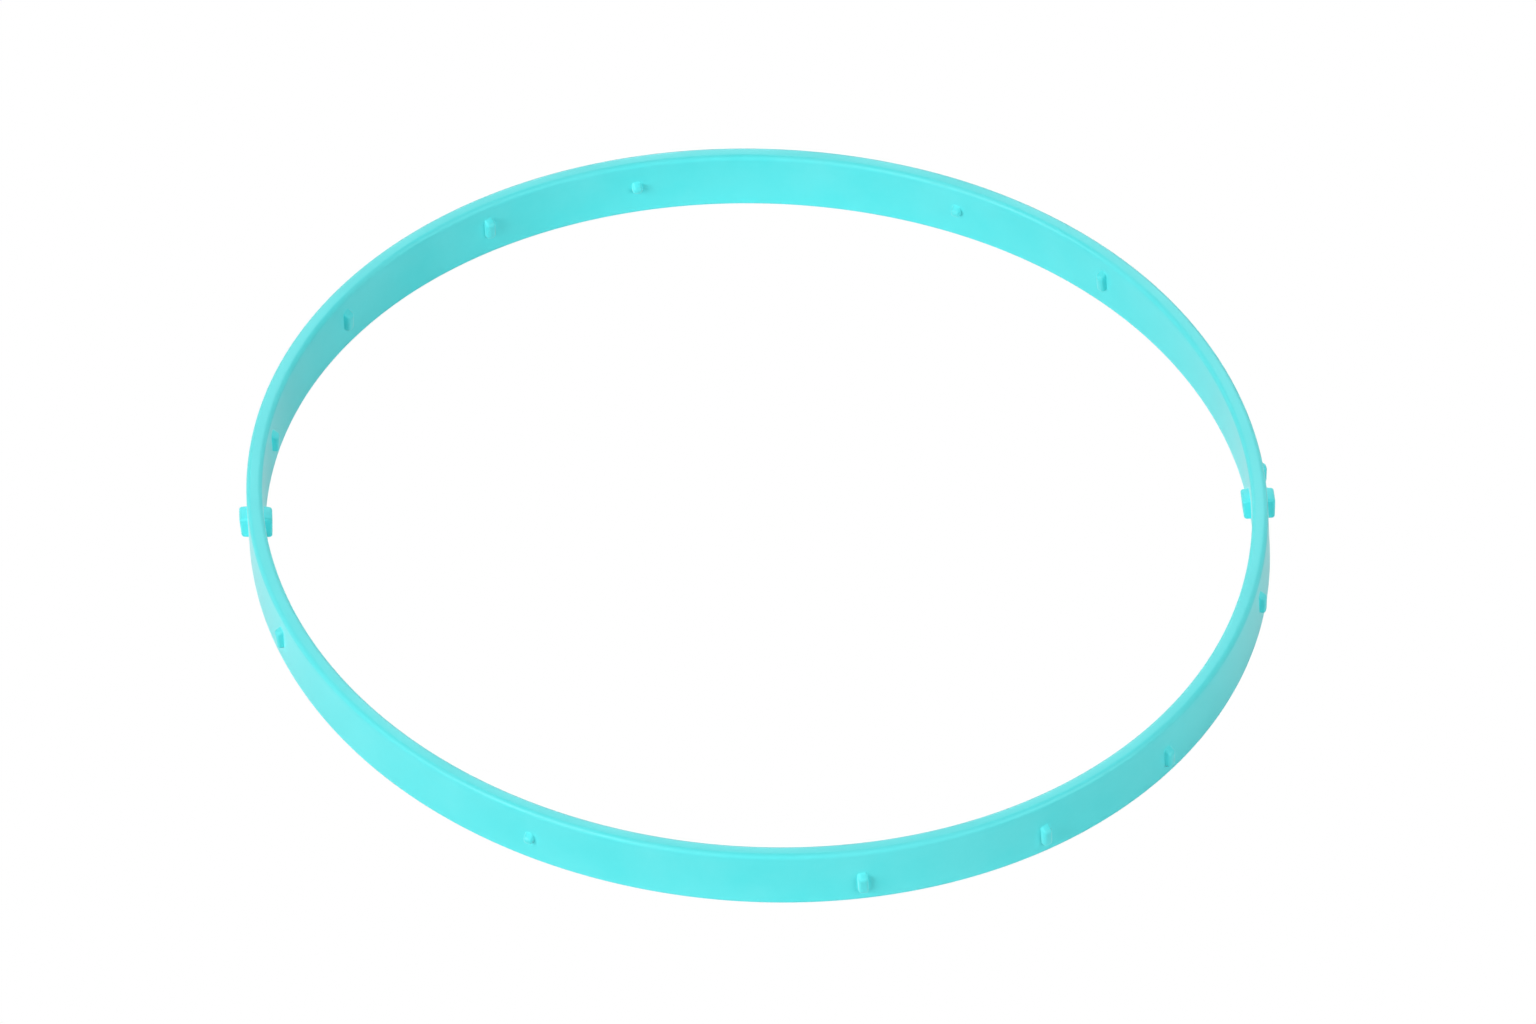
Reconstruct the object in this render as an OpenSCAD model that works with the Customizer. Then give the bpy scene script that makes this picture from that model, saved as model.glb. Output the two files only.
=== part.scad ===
// Press-in-place gasket ring. A thin, tall elastomer band stands on its edge in a round groove.
// Small retention nibs on both of its faces grip the groove's walls, and larger paired lugs drop
// into notches beside the groove and set which way round the ring goes.
// The real ring is one moulding. Each moulded feature is its own solid here, and neighbours meet
// face to face. The ring's axis is Z, it stands on Z = 0, and +X points at the right pair of lugs.

/* [Band] */
// Outer diameter of the band
band_od = 100; // [90:0.5:110]
// Thickness of the band's wall
wall_t = 1.6; // [1.3:0.1:2]
// Height of the band, from the groove floor to the flange face
band_h = 6.6; // [6:0.1:7.2]

/* [Sealing crowns] */
// Height of the crown along each edge of the band
crown_h = 1.1; // [1.1:0.1:1.4]
// Radius of a crown's rounded corners, at most half of its height
crown_r = 0.5; // [0.2:0.05:0.55]

/* [Retention nibs] */
// Width of a nib, measured around the band
nib_w = 0.95; // [0.6:0.05:1.4]
// Height of a nib
nib_h = 2.4; // [1.8:0.1:2.8]
// Height of a short nib
short_nib_h = 1.2; // [0.8:0.1:1.6]
// How far a nib stands proud of the wall
nib_proud = 0.7; // [0.4:0.05:1]
// Height of a high nib's lower end above the groove floor
high_nib_z = 2.5; // [1.8:0.1:2.8]
// Height of a low nib's lower end above the groove floor
low_nib_z = 1.4; // [1:0.1:1.6]

/* [Locating lugs] */
// Width of a lug, measured around the band
lug_w = 2; // [1.4:0.1:3]
// Height of a lug
lug_h = 2.6; // [2:0.1:3]
// How far a lug stands proud of the wall
lug_proud = 0.85; // [0.5:0.05:1.2]
// Height of a lug's lower end above the groove floor
lug_z = 1.3; // [1:0.1:1.6]
// Angle from the right pair of lugs round to the left pair
left_lug_angle = 175.5; // [172:0.5:180]
// Angle from the right outer lug to the keying nib beside it
key_nib_angle = 5; // [4:0.5:7]

/* [Hidden] */

outer_r = band_od / 2;
inner_r = outer_r - wall_t;
web_h = band_h - 2 * crown_h;
// Angles of the nibs in degrees, anticlockwise from the right pair of lugs. Most outer nibs have an
// inner one straight behind them, so that the wall is pinched at that place and can't lean.
outer_high_angles = [42, 64, 103, 121, 142.5, 196, 343];
outer_low_angles = [280, 301, 318.5];
outer_short_angles = [241];
inner_high_angles = [42, 121, 142.5, 163.5, 241, 280, 301, 318.5];
inner_short_angles = [64, 103];
// The short outer nib ends level with the low ones' tops, and a short inner one is level with the
// middles of the high ones
outer_short_z = low_nib_z + nib_h - short_nib_h;
inner_short_z = high_nib_z + (nib_h - short_nib_h) / 2;
// Radius of the rounded upright corners at the tip of a nib or lug
tip_r = 0.2;
// How deep a tab's blank reaches into the wall before the wall's own face trims it
root = 0.4;
ring_fn = 240;
tip_fn = 32;
elastomer = [0.36, 0.87, 0.87];

// One crown in section, flat side down on Y = 0, with its inner face on X = 0
module crown_section() {
    square([wall_t, crown_h - crown_r]);
    translate([crown_r, 0]) square([wall_t - 2 * crown_r, crown_h]);
    for (x = [crown_r, wall_t - crown_r])
        translate([x, crown_h - crown_r]) circle(r = crown_r, $fn = tip_fn);
}

// A round-tipped tab in plan: it starts on X = 0 and its tip is at X = reach
module tab_plan(width, reach) {
    translate([0, -width / 2]) square([reach - tip_r, width]);
    translate([0, tip_r - width / 2]) square([reach, width - 2 * tip_r]);
    for (side = [-1, 1])
        translate([reach - tip_r, side * (width / 2 - tip_r)]) circle(r = tip_r, $fn = tip_fn);
}

// A tab on the outer face at each angle, trimmed to the curve of that face
module outer_tabs(angles, z, width, height, proud) {
    difference() {
        for (angle = angles)
            rotate([0, 0, angle]) translate([outer_r - root, 0, z])
                linear_extrude(height) tab_plan(width, root + proud);
        cylinder(r = outer_r, h = band_h, $fn = ring_fn);
    }
}

// A tab on the inner face at each angle, pointing at the ring's axis and trimmed the same way
module inner_tabs(angles, z, width, height, proud) {
    intersection() {
        for (angle = angles)
            rotate([0, 0, angle]) translate([inner_r + root, 0, z]) mirror([1, 0, 0])
                linear_extrude(height) tab_plan(width, root + proud);
        cylinder(r = inner_r, h = band_h, $fn = ring_fn);
    }
}

// The plain upright wall between the two crowns
module band_web() {
    color(elastomer) translate([0, 0, crown_h]) rotate_extrude($fn = ring_fn)
        translate([inner_r, 0]) square([wall_t, web_h]);
}

// The rounded upper edge that the flange presses on
module upper_sealing_crown() {
    color(elastomer) translate([0, 0, band_h - crown_h]) rotate_extrude($fn = ring_fn)
        translate([inner_r, 0]) crown_section();
}

// The rounded lower edge that stands on the groove floor
module lower_sealing_crown() {
    color(elastomer) translate([0, 0, crown_h]) mirror([0, 0, 1]) rotate_extrude($fn = ring_fn)
        translate([inner_r, 0]) crown_section();
}

// Small upright bars that grip the groove's outer wall, high or low on the band, and the one that
// is half as tall
module outer_retention_nibs() {
    color(elastomer) {
        outer_tabs(outer_high_angles, high_nib_z, nib_w, nib_h, nib_proud);
        outer_tabs(outer_low_angles, low_nib_z, nib_w, nib_h, nib_proud);
        outer_tabs(outer_short_angles, outer_short_z, nib_w, short_nib_h, nib_proud);
    }
}

// The bars that grip the groove's inner wall, all high, and the two that are half as tall
module inner_retention_nibs() {
    color(elastomer) {
        inner_tabs(inner_high_angles, high_nib_z, nib_w, nib_h, nib_proud);
        inner_tabs(inner_short_angles, inner_short_z, nib_w, short_nib_h, nib_proud);
    }
}

// The extra outer nib that makes the right side differ from the left
module keying_nib() {
    color(elastomer) outer_tabs([key_nib_angle], low_nib_z, nib_w, nib_h, nib_proud);
}

module right_outer_lug() {
    color(elastomer) outer_tabs([0], lug_z, lug_w, lug_h, lug_proud);
}

module right_inner_lug() {
    color(elastomer) inner_tabs([0], lug_z, lug_w, lug_h, lug_proud);
}

module left_outer_lug() {
    color(elastomer) outer_tabs([left_lug_angle], lug_z, lug_w, lug_h, lug_proud);
}

module left_inner_lug() {
    color(elastomer) inner_tabs([left_lug_angle], lug_z, lug_w, lug_h, lug_proud);
}

band_web();
upper_sealing_crown();
lower_sealing_crown();
outer_retention_nibs();
inner_retention_nibs();
keying_nib();
right_outer_lug();
right_inner_lug();
left_outer_lug();
left_inner_lug();
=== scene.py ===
# %% [markdown]
# # A press-in-place gasket ring
#
# This ring seals a round duct joint. It is one thin, tall band of turquoise silicone rubber that
# stands on its edge in a groove. Small nibs on both faces grip the walls of the groove while the
# joint is open, and four larger lugs drop into notches and set which way round the ring goes.
#
# The first cell loads the working model. That model holds every size, so nothing here guesses
# one: each piece below is built at the place that the working model gives for it.

# %% Load the frame
import math

import bmesh
import bpy
from mathutils import Matrix, Vector


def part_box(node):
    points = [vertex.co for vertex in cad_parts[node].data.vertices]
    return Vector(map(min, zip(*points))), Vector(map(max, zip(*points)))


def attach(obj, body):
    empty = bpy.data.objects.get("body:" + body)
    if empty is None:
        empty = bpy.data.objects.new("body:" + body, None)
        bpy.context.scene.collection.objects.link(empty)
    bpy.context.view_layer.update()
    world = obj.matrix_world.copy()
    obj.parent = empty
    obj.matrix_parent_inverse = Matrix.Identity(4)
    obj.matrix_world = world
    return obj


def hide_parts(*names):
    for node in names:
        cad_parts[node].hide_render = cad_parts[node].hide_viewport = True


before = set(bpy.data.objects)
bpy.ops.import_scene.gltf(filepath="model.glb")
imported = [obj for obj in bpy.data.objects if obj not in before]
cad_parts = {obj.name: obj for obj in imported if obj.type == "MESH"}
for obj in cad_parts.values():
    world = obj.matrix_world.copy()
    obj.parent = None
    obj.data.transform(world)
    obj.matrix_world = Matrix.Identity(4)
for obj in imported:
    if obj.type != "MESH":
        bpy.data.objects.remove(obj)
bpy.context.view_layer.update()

# %% [markdown]
# ## The ring's measures
#
# The working model is a true circle, because that is the shape the mould has and the shape the
# ring takes in its groove. Its boxes give the outer face, the height and the height of each
# sealing crown. The inner face is where the right inner lug starts, so that lug's box gives the
# thickness of the wall. One distance has no box: the radius of a crown's corners, which is kept
# as a fraction of the wall because a mould maker would draw it that way.

# %% Read the measures
MM = 0.001

band_low, band_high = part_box("band_web")
crown_low, crown_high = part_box("upper_sealing_crown")
outer_r = band_high.x
inner_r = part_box("right_inner_lug")[1].x
wall = outer_r - inner_r
mid_r = (outer_r + inner_r) / 2
ring_height = crown_high.z
crown_height = crown_high.z - crown_low.z
corner_share = 0.31
corner_r = wall * corner_share

print(f"outer radius {outer_r / MM:.2f} mm, wall {wall / MM:.2f} mm, height {ring_height / MM:.2f} mm")

# %% [markdown]
# ## The camera
#
# A product photographer stands well back with a long lens, so that a ring keeps its even
# thickness from front to back. Here a very long lens looks from a little over three metres. The
# ring is seen from a little under 45 degrees above, with its lugs almost exactly at its left and
# right ends, and the picture is turned a few degrees, so the ring's right side rides higher. The
# ring's own centre is a touch left of the middle of the frame and below it. The camera is placed
# first, because every later choice of finish is made by looking through it.

# %% Place the camera
camera_azimuth = math.radians(0.9)
camera_elevation = math.radians(44.44)
camera_roll = math.radians(3.28)
camera_distance = 3.333
lens_mm = 796
# How far the camera is slid along its own right and up, which frames the ring
slide_right = 0.845 * MM
slide_up = 0.882 * MM

bpy.ops.object.select_all(action="DESELECT")
bpy.ops.object.camera_add()
camera = bpy.context.object
camera.name = "camera"
camera.data.lens = lens_mm
camera.data.clip_start = 0.05
camera.data.clip_end = 20
ring_centre = Vector((0, 0, ring_height / 2))
turn = (Matrix.Rotation(camera_azimuth, 4, "Z")
        @ Matrix.Rotation(math.pi / 2 - camera_elevation, 4, "X")
        @ Matrix.Rotation(-camera_roll, 4, "Z"))
axes = turn.to_3x3()
place = ring_centre + axes @ Vector((slide_right, slide_up, camera_distance))
camera.matrix_world = Matrix.Translation(place) @ turn
bpy.context.scene.camera = camera
print("camera at", [round(value, 3) for value in place])

# %% [markdown]
# ## The floor and the air around it
#
# Small white-background parts are shot on a light table: a sheet that glows evenly, so that no
# shadow edge competes with the part. The floor here glows white for the camera only. To every
# other ray it is plain matte paper, so the ring is still lit from below by light that has
# bounced, and its foot is a little darker, as it is on a real table. The air has three levels. The
# camera sees it white. As a light it is a quiet grey, so that the lamps do the shaping. In
# reflections it is two and a half times as bright as the white behind the ring, which no real tent
# would be: that level was chosen because it gives the upper edge its paleness.

# %% Lay the floor
floor_size = 12.0
paper_white = (0.8, 0.8, 0.8, 1)
air_grey = 0.06
tent_glow = 2.5

bpy.ops.object.select_all(action="DESELECT")
bpy.ops.mesh.primitive_plane_add(size=floor_size, location=(0, 0, 0))
floor = bpy.context.object
floor.name = "floor"

floor_finish = bpy.data.materials.new("pale_floor")
floor_finish.use_nodes = True
nodes, links = floor_finish.node_tree.nodes, floor_finish.node_tree.links
nodes.clear()
paper = nodes.new("ShaderNodeBsdfDiffuse")
paper.inputs["Color"].default_value = paper_white
glow = nodes.new("ShaderNodeEmission")
glow.inputs["Color"].default_value = (1, 1, 1, 1)
glow.inputs["Strength"].default_value = 1.0
ray = nodes.new("ShaderNodeLightPath")
choose = nodes.new("ShaderNodeMixShader")
surface = nodes.new("ShaderNodeOutputMaterial")
links.new(ray.outputs["Is Camera Ray"], choose.inputs[0])
links.new(paper.outputs[0], choose.inputs[1])
links.new(glow.outputs[0], choose.inputs[2])
links.new(choose.outputs[0], surface.inputs["Surface"])
floor.data.materials.append(floor_finish)

world = bpy.data.worlds.new("studio_air")
bpy.context.scene.world = world
world.use_nodes = True
nodes, links = world.node_tree.nodes, world.node_tree.links
nodes.clear()
air = nodes.new("ShaderNodeBackground")
air.inputs["Color"].default_value = (1, 1, 1, 1)
air.inputs["Strength"].default_value = air_grey
white = nodes.new("ShaderNodeBackground")
white.inputs["Color"].default_value = (1, 1, 1, 1)
white.inputs["Strength"].default_value = 1.0
tent = nodes.new("ShaderNodeBackground")
tent.inputs["Color"].default_value = (1, 1, 1, 1)
tent.inputs["Strength"].default_value = tent_glow
ray = nodes.new("ShaderNodeLightPath")
mirrored = nodes.new("ShaderNodeMixShader")
choose = nodes.new("ShaderNodeMixShader")
surface = nodes.new("ShaderNodeOutputWorld")
links.new(ray.outputs["Is Glossy Ray"], mirrored.inputs[0])
links.new(air.outputs[0], mirrored.inputs[1])
links.new(tent.outputs[0], mirrored.inputs[2])
links.new(ray.outputs["Is Camera Ray"], choose.inputs[0])
links.new(mirrored.outputs[0], choose.inputs[1])
links.new(white.outputs[0], choose.inputs[2])
links.new(choose.outputs[0], surface.inputs["Surface"])
bpy.context.scene.view_settings.view_transform = "Standard"

# %% [markdown]
# ## The lamps
#
# The lamps are three large soft boxes. The key stands low on the left and in front, so the left of
# the ring is the bright side and each nib gets one light flank and one dark one. A weaker box
# fills from the right, and one behind shines over the far wall on to the near wall's inside and
# the upper edge. All are hidden from the camera, since another view may look through them.

# %% Hang the lamps
lamp_distance = 1.4
lamp_size = 0.8


def soft_box(name, azimuth, elevation, power):
    """Hang a square area lamp that faces the ring. Azimuth is measured from +X, anticlockwise."""
    bpy.ops.object.select_all(action="DESELECT")
    bpy.ops.object.light_add(type="AREA")
    lamp = bpy.context.object
    lamp.name = name
    lamp.data.shape = "SQUARE"
    lamp.data.size = lamp_size
    lamp.data.energy = power
    lamp.visible_camera = False
    a, e = math.radians(azimuth), math.radians(elevation)
    towards = Vector((math.cos(a) * math.cos(e), math.sin(a) * math.cos(e), math.sin(e)))
    lamp.location = ring_centre + towards * lamp_distance
    lamp.rotation_euler = towards.to_track_quat("Z", "Y").to_euler()
    print(f"{name}: {power} W at azimuth {azimuth}, elevation {elevation}")


soft_box("key_lamp", azimuth=215, elevation=25, power=15.0)
soft_box("right_lamp", azimuth=325, elevation=25, power=9.0)
soft_box("back_lamp", azimuth=90, elevation=30, power=8.5)

# %% [markdown]
# ## Helpers for modelling
#
# A bpy operator works on whatever is selected, as a menu entry does, so each step starts from an
# empty selection. In edit mode the elements are picked in code by where they are: `pick` marks
# the vertices, edges or faces that pass a test.

# %% Modelling helpers
def start_clean():
    """Go back to object mode with nothing selected."""
    if bpy.context.object and bpy.context.object.mode != "OBJECT":
        bpy.ops.object.mode_set(mode="OBJECT")
    bpy.ops.object.select_all(action="DESELECT")


def pick(kind, test):
    """In edit mode, select only the verts, edges or faces that pass the test."""
    bpy.ops.mesh.select_mode(type={"verts": "VERT", "edges": "EDGE", "faces": "FACE"}[kind])
    bpy.ops.mesh.select_all(action="DESELECT")
    mesh = bpy.context.object.data
    shape = bmesh.from_edit_mesh(mesh)
    chosen = [element for element in getattr(shape, kind) if test(element)]
    for element in chosen:
        element.select_set(True)
    shape.select_flush_mode()
    bmesh.update_edit_mesh(mesh)
    return len(chosen)


def set_in_place(piece):
    """Put the piece's turn and place into its mesh, and leave the object at the origin."""
    start_clean()
    piece.select_set(True)
    bpy.context.view_layer.objects.active = piece
    bpy.ops.object.transform_apply(location=True, rotation=True, scale=True)


# %% [markdown]
# ## The free ring is not quite round
#
# Silicone is soft, and a thin ring that lies free on a table relaxes out of its moulded circle.
# It springs back when it is pushed into its groove. The free shape is mostly a slight oval, long
# from back left to front right, with much smaller three-sided and four-sided waves on top. All are
# plain cosine waves around the ring, so one short function gives them, and every piece is passed
# through it: the band and the tabs on it then move together and stay joined. The depths were
# chosen so that the outline comes out right from this camera. The two small waves are the least
# sure, because a wall that leans a little would look much the same from here.

# %% Let a piece take the ring's free shape
oval_depth = 1.93 * MM
oval_long_way = math.radians(135.9)
wave_depth = 0.17 * MM
wave_peak = math.radians(47.5)
square_depth = 0.15 * MM
square_peak = math.radians(45.9)


def free_shift(angle):
    """How far the free ring stands outside its moulded circle at this angle from +X."""
    oval = oval_depth * math.cos(2 * (angle - oval_long_way))
    wave = wave_depth * math.cos(3 * (angle - wave_peak))
    square = square_depth * math.cos(4 * (angle - square_peak))
    return oval + wave + square


def relax(piece):
    """Move every vertex in or out along its own radius by the free ring's shift there."""
    for vertex in piece.data.vertices:
        radius = math.hypot(vertex.co.x, vertex.co.y)
        grown = 1 + free_shift(math.atan2(vertex.co.y, vertex.co.x)) / radius
        vertex.co.x *= grown
        vertex.co.y *= grown
    piece.data.update()


print(f"free ring: {free_shift(math.radians(135)) / MM:.2f} mm out at 135 degrees,",
      f"{free_shift(math.radians(45)) / MM:.2f} mm at 45 degrees")

# %% [markdown]
# ## The band
#
# The band is a turned shape, so it is made as a lathe would make it. A flat rectangle stands
# where the wall is cut through, the two corners at its free edge are rounded, and the outline is
# spun once round the ring's axis. The upper and lower crowns have rounded corners, because a
# sharp rubber edge would tear out of the mould. The plain web between them has none.
#
# Spinning an outline leaves a seam where the last copy meets the first, so the doubles are
# merged, and the normals are then made to point outwards.

# %% Spin the band's three parts
spin_steps = 480
corner_segments = 8
merge_distance = 0.001 * MM


def spun_ring(name, low, high, rounded=None):
    """Spin a wall section between two heights. `rounded` is the height of its rounded edge."""
    start_clean()
    bpy.ops.mesh.primitive_plane_add(size=1, location=(mid_r, 0, (low + high) / 2),
                                     rotation=(math.pi / 2, 0, 0))
    piece = bpy.context.object
    piece.name = piece.data.name = name
    piece.scale = (wall, high - low, 1)
    set_in_place(piece)
    bpy.ops.object.mode_set(mode="EDIT")
    if rounded is not None:
        pick("verts", lambda vertex: abs(vertex.co.z - rounded) < merge_distance)
        bpy.ops.mesh.bevel(offset=corner_r, segments=corner_segments, affect="VERTICES")
    bpy.ops.mesh.select_all(action="SELECT")
    bpy.ops.mesh.delete(type="ONLY_FACE")
    bpy.ops.mesh.select_all(action="SELECT")
    bpy.ops.mesh.spin(steps=spin_steps, angle=math.tau, center=(0, 0, 0), axis=(0, 0, 1))
    bpy.ops.mesh.select_all(action="SELECT")
    bpy.ops.mesh.remove_doubles(threshold=merge_distance)
    bpy.ops.mesh.normals_make_consistent(inside=False)
    bpy.ops.object.mode_set(mode="OBJECT")
    print(f"{name}: {len(piece.data.polygons)} faces")
    return piece


web = spun_ring("web", band_low.z, band_high.z)
upper_crown = spun_ring("upper_crown", crown_low.z, crown_high.z, rounded=crown_high.z)
lower_crown = spun_ring("lower_crown", 0, crown_height, rounded=0)

# %% [markdown]
# ## The tabs
#
# Nibs and lugs are the same kind of shape in different sizes: a bar that grows out of the wall
# through a small flared root and ends in a rounded nose. One is modelled flat, with the wall's
# face at X = 0. It starts as the foot that is buried in the wall. The foot's outer face is inset
# and pulled out to make the bar. The bar's lower end leans back towards the wall, as a lead-in for
# the groove, and its upper end leans back a little too, so that the ring comes out of its mould.
# All the edges of the bar are then rounded into a nose, as a well worn cutter leaves them, and a
# bevel modifier softens what is still sharp, which is the inside corner at the root.

# %% Model one tab
foot_depth = 0.5 * MM
root_flare = 0.2 * MM
soft_edge = 0.2 * MM
soft_segments = 4
nose_segments = 6


def model_tab(name, width, height, proud, nose_r, lead_in, draft):
    """A tab on a flat wall, centred on the origin, that stands out along +X.

    `lead_in` is how far its lower end leans back, and `draft` is how far its upper end does.
    """
    start_clean()
    bpy.ops.mesh.primitive_cube_add(size=1, location=(-foot_depth / 2, 0, 0))
    tab = bpy.context.object
    tab.name = tab.data.name = name
    tab.scale = (foot_depth, width + 2 * root_flare, height + 2 * root_flare)
    set_in_place(tab)
    bpy.ops.object.mode_set(mode="EDIT")
    pick("faces", lambda face: face.normal.x > 0.9)
    bpy.ops.mesh.inset(thickness=root_flare)
    bpy.ops.mesh.extrude_region_move(TRANSFORM_OT_translate={"value": (proud, 0, 0)})
    pick("verts", lambda vertex: vertex.co.x > merge_distance and vertex.co.z < 0)
    bpy.ops.transform.translate(value=(-lead_in, 0, 0))
    pick("verts", lambda vertex: vertex.co.x > merge_distance and vertex.co.z > 0)
    bpy.ops.transform.translate(value=(0, 0, -draft))
    pick("edges", lambda edge: any(v.co.x > merge_distance for v in edge.verts))
    bpy.ops.mesh.bevel(offset=nose_r, segments=nose_segments, affect="EDGES")
    bpy.ops.object.mode_set(mode="OBJECT")
    bpy.ops.object.modifier_add(type="BEVEL")
    soften = tab.modifiers[-1]
    soften.width = soft_edge
    soften.segments = soft_segments
    soften.limit_method = "ANGLE"
    soften.angle_limit = math.radians(50)
    bpy.ops.object.modifier_apply(modifier=soften.name)
    print(f"{name}: {width / MM:.2f} x {height / MM:.2f} mm, {proud / MM:.2f} mm proud,",
          f"{len(tab.data.polygons)} faces")
    return tab


# %% [markdown]
# ## Where the tabs go
#
# The working model holds each group of nibs as one node of separate solids. Sorting a node's
# points by their angle round the ring, and starting a new tab at each wide gap, gives the angle,
# the lower end and the upper end of every tab. The count starts at the very front of the ring,
# where there is no tab to be cut in two.

# %% Read the tabs' places
tab_gap = math.radians(2)


def tabs_in(node):
    """(angle, low z, high z) of each separate tab in a node, in order round the ring."""
    points = sorted(((math.atan2(v.co.y, v.co.x) + math.pi / 2) % math.tau - math.pi / 2, v.co.z)
                    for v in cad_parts[node].data.vertices)
    groups = [[points[0]]]
    for point in points[1:]:
        if point[0] - groups[-1][-1][0] > tab_gap:
            groups.append([])
        groups[-1].append(point)
    return [((group[0][0] + group[-1][0]) / 2, min(z for _, z in group), max(z for _, z in group))
            for group in groups]


for node in ("outer_retention_nibs", "inner_retention_nibs"):
    print(node, [round(math.degrees(angle)) % 360 for angle, _, _ in tabs_in(node)])

# %% [markdown]
# ## Copy the tabs round the ring
#
# Each tab is a copy of a master with a mesh of its own. The copy is turned to its station, moved
# out to the wall, and set into its mesh. An inner tab is turned half a turn more, so that it
# points at the ring's axis. The sizes come from the boxes of the lugs and the keying nib, which
# stand square to the X axis, or nearly so.

# %% Stand the tabs on the band
def reach(node):
    """Width around the ring, height, and how far a single tab stands out, from its box."""
    low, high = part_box(node)
    proud = high.x - outer_r if high.x > outer_r else inner_r - low.x
    return high.y - low.y, high.z - low.z, proud


lug_size = reach("right_outer_lug")
key_angle, key_low, key_high = tabs_in("keying_nib")[0]
tip = max(math.hypot(v.co.x, v.co.y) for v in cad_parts["keying_nib"].data.vertices)
nib_proud = tip - outer_r
nib_width = 0.95 * MM
nib_nose = 0.32 * MM
nib_lead_in = 0.12 * MM
nib_draft = 0.4 * MM
lug_nose = 0.3 * MM
lug_lead_in = 0.13 * MM
lug_draft = 0.12 * MM


def stand(master, name, node, angle, z, inner=False):
    """A copy of a master tab at an angle and a height, on the outer or the inner face."""
    piece = master.copy()
    piece.data = master.data.copy()
    piece.name = piece.data.name = name
    bpy.context.scene.collection.objects.link(piece)
    radius = inner_r if inner else outer_r
    piece.location = (radius * math.cos(angle), radius * math.sin(angle), z)
    piece.rotation_euler = (0, 0, angle + (math.pi if inner else 0))
    set_in_place(piece)
    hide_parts(node)
    return piece


nib_height = key_high - key_low
masters = {}
tabs = []


def nib_master(height):
    """The master for nibs of this height, modelled the first time it is asked for."""
    key = round(height / MM, 2)
    if key not in masters:
        masters[key] = model_tab(f"nib_master_{len(masters)}", nib_width, height, nib_proud,
                                 nib_nose, nib_lead_in, nib_draft)
    return masters[key]


for face in ("outer", "inner"):
    node = f"{face}_retention_nibs"
    for angle, low, high in tabs_in(node):
        name = f"{face}_nib_at_{round(math.degrees(angle)) % 360:03d}"
        tabs.append(stand(nib_master(high - low), name, node, angle, (low + high) / 2,
                          inner=face == "inner"))

tabs.append(stand(nib_master(nib_height), "keying_rib", "keying_nib", key_angle,
                  (key_low + key_high) / 2))
masters["lug"] = model_tab("lug_master", *lug_size, lug_nose, lug_lead_in, lug_draft)
for side in ("right", "left"):
    for face in ("outer", "inner"):
        node = f"{side}_{face}_lug"
        angle, low, high = tabs_in(node)[0]
        tabs.append(stand(masters["lug"], f"{face}_lug_{side}", node, angle, (low + high) / 2,
                          inner=face == "inner"))
start_clean()
for master in masters.values():
    bpy.data.objects.remove(master)
print(len(tabs), "tabs stand on the band")

# %% [markdown]
# ## The rubber
#
# The ring is pigmented silicone with a satin surface. Three things keep it from looking like
# plastic. The pigment is slightly cloudy, so the colour drifts by a few per cent over some
# millimetres. The mould was turned on a lathe, and its finest tool lines are still on the walls
# as rings a tenth of a millimetre apart. And silicone slowly sweats a trace of oil that dries to
# a pale bloom, so the gloss and the whiteness vary in soft patches.
#
# Each effect is a shader node group with named inputs and outputs, built once and used by both
# rubber materials with different values.

# %% Node group helpers
def new_group(name, inputs, outputs):
    """An empty shader group with float inputs {name: default} and outputs {name: socket type}."""
    group = bpy.data.node_groups.new(name, "ShaderNodeTree")
    for label, default in inputs.items():
        socket = group.interface.new_socket(name=label, in_out="INPUT", socket_type="NodeSocketFloat")
        socket.default_value = default
    for label, kind in outputs.items():
        group.interface.new_socket(name=label, in_out="OUTPUT", socket_type=kind)
    return group, group.nodes.new("NodeGroupInput"), group.nodes.new("NodeGroupOutput")


def math_node(tree, operation, first, second=None):
    """A Math node whose two values are numbers or sockets. Returns its result socket."""
    node = tree.nodes.new("ShaderNodeMath")
    node.operation = operation
    for socket, value in zip(node.inputs, (first, second)):
        if isinstance(value, bpy.types.NodeSocket):
            tree.links.new(value, socket)
        elif value is not None:
            socket.default_value = value
    return node.outputs[0]


def noise_node(tree, vector, scale, detail, roughness=0.5):
    """A Noise Texture on these coordinates. Returns its factor socket, which averages a half."""
    node = tree.nodes.new("ShaderNodeTexNoise")
    node.inputs["Detail"].default_value = detail
    node.inputs["Roughness"].default_value = roughness
    if isinstance(scale, bpy.types.NodeSocket):
        tree.links.new(scale, node.inputs["Scale"])
    else:
        node.inputs["Scale"].default_value = scale
    tree.links.new(vector, node.inputs["Vector"])
    return node.outputs["Fac"]


# %% [markdown]
# ### Cloudy pigment
#
# Two sizes of soft noise are added, one a few millimetres across and one under a millimetre. The
# result is a shade from 0 to 1 that averages a half, which the material turns into a small drift
# between a deeper and a paler turquoise.

# %% Cloudy pigment group
cloud, cloud_in, cloud_out = new_group("cloudy_pigment", {"Patch Scale": 220.0, "Contrast": 1.0},
                                       {"Shade": "NodeSocketFloat"})
place_node = cloud.nodes.new("ShaderNodeTexCoord")
wide = noise_node(cloud, place_node.outputs["Object"], cloud_in.outputs["Patch Scale"], 2)
fine = noise_node(cloud, place_node.outputs["Object"], 1300, 3)
mixed = math_node(cloud, "ADD", math_node(cloud, "MULTIPLY", wide, 0.7),
                  math_node(cloud, "MULTIPLY", fine, 0.3))
centred = math_node(cloud, "SUBTRACT", mixed, 0.5)
spread = math_node(cloud, "MULTIPLY", centred, cloud_in.outputs["Contrast"])
cloud.links.new(math_node(cloud, "ADD", spread, 0.5), cloud_out.inputs["Shade"])

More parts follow.
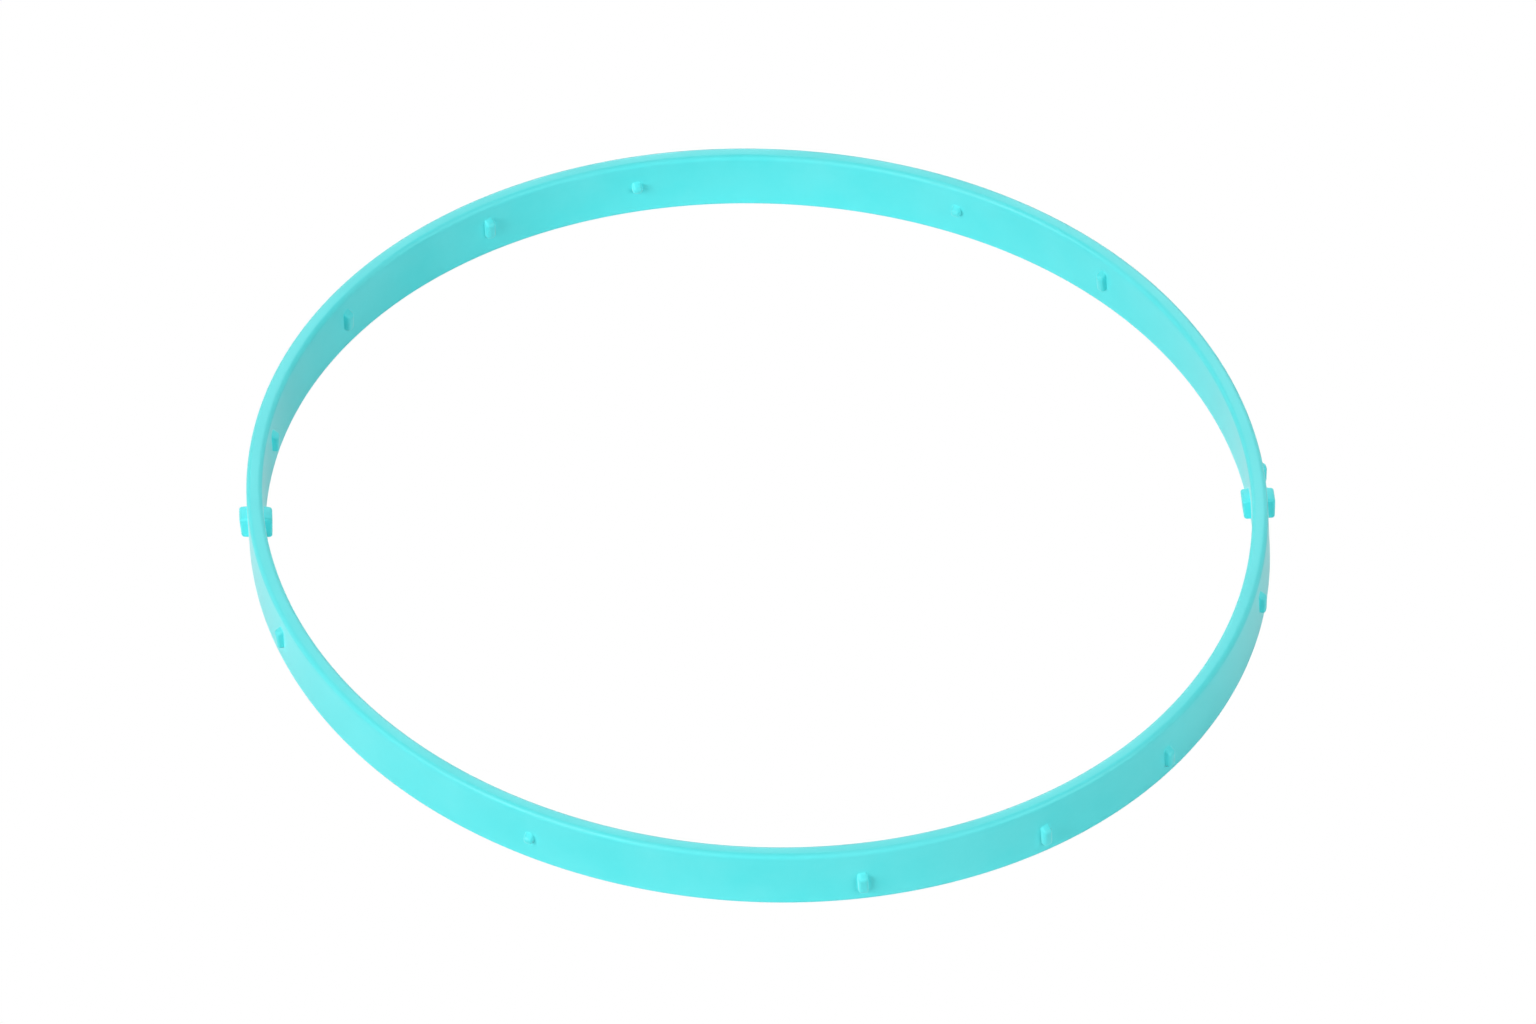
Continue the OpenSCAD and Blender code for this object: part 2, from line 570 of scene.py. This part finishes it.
# %% [markdown]
# ### Bloom
#
# Bloom gathers where air moves, in loose patches about a centimetre across with a fine grain
# inside them. The group gives a mask from 0 to 1. A Map Range node pushes the noise towards clear
# areas and hazy areas, so that it doesn't read as an even grey.

# %% Bloom group
bloom, bloom_in, bloom_out = new_group("silicone_bloom", {"Patch Scale": 110.0, "Grain Scale": 3800.0},
                                       {"Mask": "NodeSocketFloat"})
place_node = bloom.nodes.new("ShaderNodeTexCoord")
patches = noise_node(bloom, place_node.outputs["Object"], bloom_in.outputs["Patch Scale"], 3)
grain = noise_node(bloom, place_node.outputs["Object"], bloom_in.outputs["Grain Scale"], 1)
edge = bloom.nodes.new("ShaderNodeMapRange")
edge.inputs["From Min"].default_value = 0.36
edge.inputs["From Max"].default_value = 0.66
bloom.links.new(patches, edge.inputs["Value"])
haze = math_node(bloom, "MULTIPLY", edge.outputs["Result"],
                 math_node(bloom, "ADD", math_node(bloom, "MULTIPLY", grain, 0.6), 0.7))
bloom.links.new(math_node(bloom, "MINIMUM", haze, 1.0), bloom_out.inputs["Mask"])

# %% [markdown]
# ### The mould's skin
#
# Rubber copies its mould exactly. The walls carry fine lines from turning, which run round the
# ring, so they depend on height alone, bent a little by noise. Over them lies the grain of the
# blasted steel. The group puts out a height for a Bump node.

# %% Mould skin group
skin, skin_in, skin_out = new_group("mould_skin", {"Line Depth": 0.5, "Grain Depth": 0.5},
                                    {"Height": "NodeSocketFloat"})
place_node = skin.nodes.new("ShaderNodeTexCoord")
split = skin.nodes.new("ShaderNodeSeparateXYZ")
skin.links.new(place_node.outputs["Object"], split.inputs[0])
wander = noise_node(skin, place_node.outputs["Object"], 60, 2)
lines_per_metre = 9000
bent = math_node(skin, "ADD", math_node(skin, "MULTIPLY", split.outputs["Z"], lines_per_metre),
                 math_node(skin, "MULTIPLY", wander, 2.0))
ripple = math_node(skin, "SINE", math_node(skin, "MULTIPLY", bent, math.tau))
grain = noise_node(skin, place_node.outputs["Object"], 5200, 3, 0.6)
height = math_node(skin, "ADD",
                   math_node(skin, "MULTIPLY", ripple, skin_in.outputs["Line Depth"]),
                   math_node(skin, "MULTIPLY", grain, skin_in.outputs["Grain Depth"]))
skin.links.new(height, skin_out.inputs["Height"])

# %% [markdown]
# ### The two rubber finishes
#
# The walls and the tabs are the same rubber. The tabs' pockets were cut by a spark, not turned,
# so their skin has no lines and a little more grain. Silicone bends light nearly as glass does
# (index 1.41) and is satin rather than glossy. Where it is seen almost edge on it turns pale,
# because a slanted surface mirrors the bright room around it. Bloom standing on the surface could
# do that, and so could a bright room mirrored in it. That reflection is painted into the colour:
# a Layer Weight node, which knows how slanted the surface is, fades the base colour towards white
# there by a given amount, a painted reflection. The values that are the same all over are set
# straight on the shader's sockets.

# %% Rubber materials
deep_turquoise = (0.085, 0.845, 0.87, 1)
pale_turquoise = (0.125, 0.88, 0.905, 1)
bloom_white = (0.55, 0.90, 0.92, 1)
# Painted reflection: the white that the colour fades towards where the surface is seen edge on.
painted_reflection_white = (0.93, 0.93, 0.93, 1)
painted_reflection_power = 3.8
painted_reflection_amount = 0.48
silicone_ior = 1.41
shine_level = 0.55
clear_roughness = 0.42
hazy_roughness = 0.56
skin_depth = 0.004 * MM


def silicone(name, line_depth, grain_depth, bloom_amount):
    """Satin turquoise silicone with cloudy pigment, bloom, a painted reflection on slanted faces and
    the skin of its mould.
    """
    finish = bpy.data.materials.new(name)
    finish.use_nodes = True
    tree = finish.node_tree
    rubber = tree.nodes["Principled BSDF"]
    rubber.inputs["IOR"].default_value = silicone_ior
    rubber.inputs["Specular IOR Level"].default_value = shine_level

    clouds = tree.nodes.new("ShaderNodeGroup")
    clouds.node_tree = cloud
    pigment = tree.nodes.new("ShaderNodeMix")
    pigment.data_type = "RGBA"
    pigment.inputs["A"].default_value = deep_turquoise
    pigment.inputs["B"].default_value = pale_turquoise
    tree.links.new(clouds.outputs["Shade"], pigment.inputs["Factor"])

    hazes = tree.nodes.new("ShaderNodeGroup")
    hazes.node_tree = bloom
    amount = math_node(tree, "MULTIPLY", hazes.outputs["Mask"], bloom_amount)
    colour = tree.nodes.new("ShaderNodeMix")
    colour.data_type = "RGBA"
    colour.inputs["B"].default_value = bloom_white
    tree.links.new(amount, colour.inputs["Factor"])
    tree.links.new(pigment.outputs["Result"], colour.inputs["A"])

    # Painted reflection: the base colour is faded towards white where the surface is seen edge on.
    slant = tree.nodes.new("ShaderNodeLayerWeight")
    slant.inputs["Blend"].default_value = 0.5
    fade = math_node(tree, "POWER", slant.outputs["Facing"], painted_reflection_power)
    painted_reflection_mix = tree.nodes.new("ShaderNodeMix")
    painted_reflection_mix.data_type = "RGBA"
    painted_reflection_mix.inputs["B"].default_value = painted_reflection_white
    tree.links.new(math_node(tree, "MULTIPLY", fade, painted_reflection_amount), painted_reflection_mix.inputs["Factor"])
    tree.links.new(colour.outputs["Result"], painted_reflection_mix.inputs["A"])
    tree.links.new(painted_reflection_mix.outputs["Result"], rubber.inputs["Base Color"])

    gloss = tree.nodes.new("ShaderNodeMapRange")
    gloss.inputs["To Min"].default_value = clear_roughness
    gloss.inputs["To Max"].default_value = hazy_roughness
    tree.links.new(hazes.outputs["Mask"], gloss.inputs["Value"])
    tree.links.new(gloss.outputs["Result"], rubber.inputs["Roughness"])

    skins = tree.nodes.new("ShaderNodeGroup")
    skins.node_tree = skin
    skins.inputs["Line Depth"].default_value = line_depth
    skins.inputs["Grain Depth"].default_value = grain_depth
    bump = tree.nodes.new("ShaderNodeBump")
    bump.inputs["Strength"].default_value = 0.5
    bump.inputs["Distance"].default_value = skin_depth
    tree.links.new(skins.outputs["Height"], bump.inputs["Height"])
    tree.links.new(bump.outputs["Normal"], rubber.inputs["Normal"])
    return finish


wall_rubber = silicone("wall_silicone", line_depth=0.35, grain_depth=0.5, bloom_amount=0.05)
tab_rubber = silicone("tab_silicone", line_depth=0.0, grain_depth=0.8, bloom_amount=0.04)

# %% [markdown]
# ## Finish every piece
#
# Each piece takes the free shape, gets smooth shading with a weighted-normal modifier, so that a
# flat wall stays flat right up to its rounded corner, and gets its rubber. Then it is told which
# body it rides on. The ring has no moving parts, so every piece rides on the one body.

# %% Relax, smooth and finish
smooth_angle = math.radians(35)


def finish_piece(piece, rubber):
    relax(piece)
    start_clean()
    piece.select_set(True)
    bpy.context.view_layer.objects.active = piece
    bpy.ops.object.shade_smooth_by_angle(angle=smooth_angle)
    bpy.ops.object.modifier_add(type="WEIGHTED_NORMAL")
    even = piece.modifiers[-1]
    even.keep_sharp = True
    bpy.ops.object.modifier_apply(modifier=even.name)
    piece.data.materials.clear()
    piece.data.materials.append(rubber)
    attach(piece, "root")


for piece, node in ((web, "band_web"), (upper_crown, "upper_sealing_crown"),
                    (lower_crown, "lower_sealing_crown")):
    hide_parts(node)
    finish_piece(piece, wall_rubber)
for piece in tabs:
    finish_piece(piece, tab_rubber)
start_clean()
